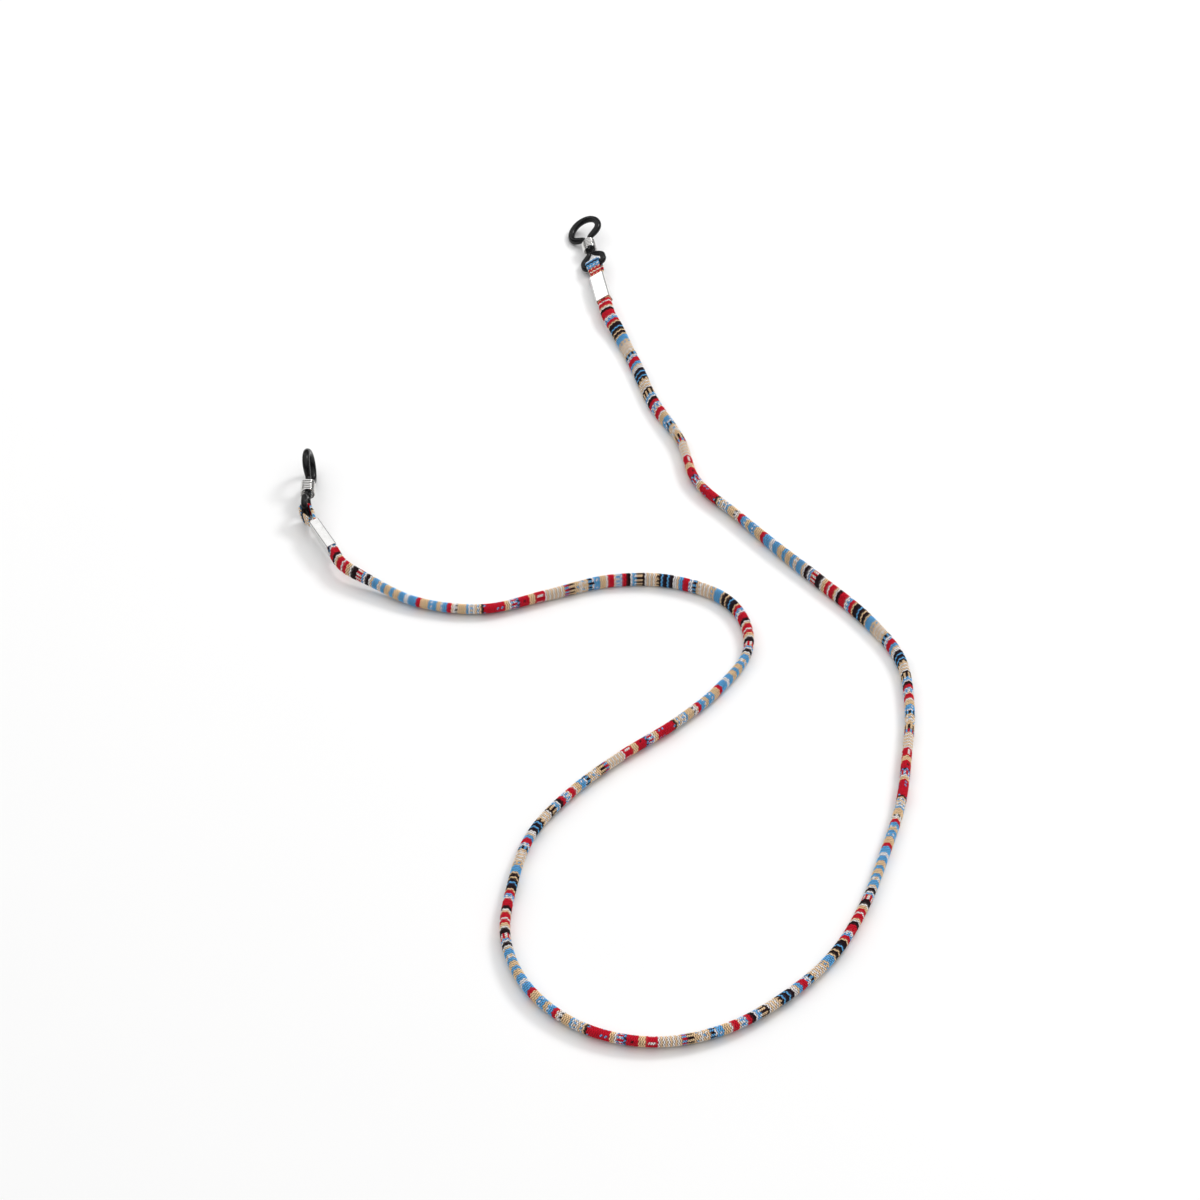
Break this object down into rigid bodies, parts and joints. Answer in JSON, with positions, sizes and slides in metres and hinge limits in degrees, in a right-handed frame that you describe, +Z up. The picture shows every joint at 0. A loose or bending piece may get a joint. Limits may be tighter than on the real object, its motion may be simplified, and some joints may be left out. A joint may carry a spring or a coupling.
{
  "type": "eyeglass retainer strap",
  "caption": "Woven neck strap for eyeglasses: each end has a crimped eye, a rubber loop for the temple arm and a sliding wire coil that grips it.",
  "frame": {"origin": "on the surface that the strap lies on, under the middle of the box around the two sets of end fittings", "axes": "+Z up from the surface; +Y from the bottom of the cord's bight towards the two ends; +X towards the right end's side"},
  "size_m": [0.1807, 0.3491, 0.0122],
  "materials": {
    "woven_cotton": "multicolour cotton weave: crimson, sky blue, black, tan and white",
    "filler_yarn": "undyed cotton yarn",
    "polished_steel": "polished, bright plated",
    "bright_wire": "bright drawn wire",
    "black_rubber": "satin black rubber"
  },
  "bodies": {
    "strap": {"woven_sleeve": "woven_cotton", "filler_core": "filler_yarn", "right_cord_eye": "woven_cotton", "left_cord_eye": "woven_cotton", "right_crimp": "polished_steel", "left_crimp": "polished_steel"},
    "right_loop": {"right_rubber_loop": "black_rubber"},
    "right_coil": {"right_cinch_coil": "bright_wire"},
    "left_loop": {"left_rubber_loop": "black_rubber"},
    "left_coil": {"left_cinch_coil": "bright_wire"}
  },
  "joints": [
    {"name": "right_loop_swing", "type": "hinge", "parent": "strap", "child": "right_loop", "pos_m": [0.0413, 0.0573, 0.00365], "axis": [-0.8529, -0.1504, -0.5], "range_deg": [-120, 120]},
    {"name": "right_coil_slide", "type": "slide", "parent": "right_loop", "child": "right_coil", "axis": [-0.1736, 0.9848, 0], "range_m": [-0.0008, 0.0014]},
    {"name": "left_loop_swing", "type": "hinge", "parent": "strap", "child": "left_loop", "pos_m": [-0.045, -0.06396, 0.00465], "axis": [0.1533, 0.0815, -0.9848], "range_deg": [-148, 92]},
    {"name": "left_coil_slide", "type": "slide", "parent": "left_loop", "child": "left_coil", "axis": [-0.0063, 0.9967, 0.0815], "range_m": [-0.0008, 0.0014]}
  ]
}
